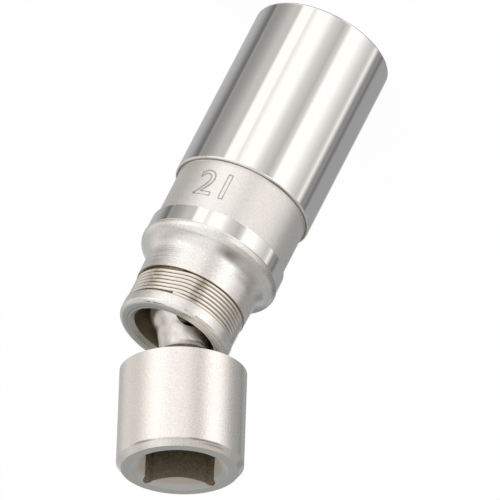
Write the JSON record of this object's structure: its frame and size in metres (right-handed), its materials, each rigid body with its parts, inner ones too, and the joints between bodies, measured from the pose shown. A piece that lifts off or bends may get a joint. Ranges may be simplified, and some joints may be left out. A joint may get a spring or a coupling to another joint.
{
  "type": "swivel spark plug socket",
  "caption": "Long hexagon spark plug socket with a rubber grip inside and a square drive end on a ball-and-pin swivel joint.",
  "frame": {"origin": "centre of the socket's open mouth, on the face that it stands on", "axes": "+Z along the socket's axis from the mouth to the swivel joint; Y along the joint's cross pin; the drive end is bent over towards -X"},
  "size_m": [0.0368, 0.0274, 0.0974],
  "materials": {
    "polished_steel": "polished chrome, satin where turned",
    "satin_steel": "satin chrome",
    "coil_wire": "bronze-coloured spring wire",
    "pin_steel": "ground",
    "spring_wire": "drawn wire",
    "black_rubber": "matt"
  },
  "bodies": {
    "socket": {"socket_body": "polished_steel", "plug_grip": "black_rubber", "retaining_coil": "coil_wire", "joint_spring": "spring_wire"},
    "pin": {"cross_pin": "pin_steel"},
    "drive": {"drive_knuckle": "satin_steel"}
  },
  "joints": [
    {"name": "pin_turn", "type": "hinge", "parent": "socket", "child": "pin", "pos_m": [0, 0, 0.0631], "axis": [0, 1, 0], "range_deg": [-1.2, 46.8]},
    {"name": "ball_rock", "type": "hinge", "parent": "pin", "child": "drive", "pos_m": [0, 0, 0.0631], "axis": [0.9219, 0, 0.3875], "range_deg": [-11, 11]}
  ]
}
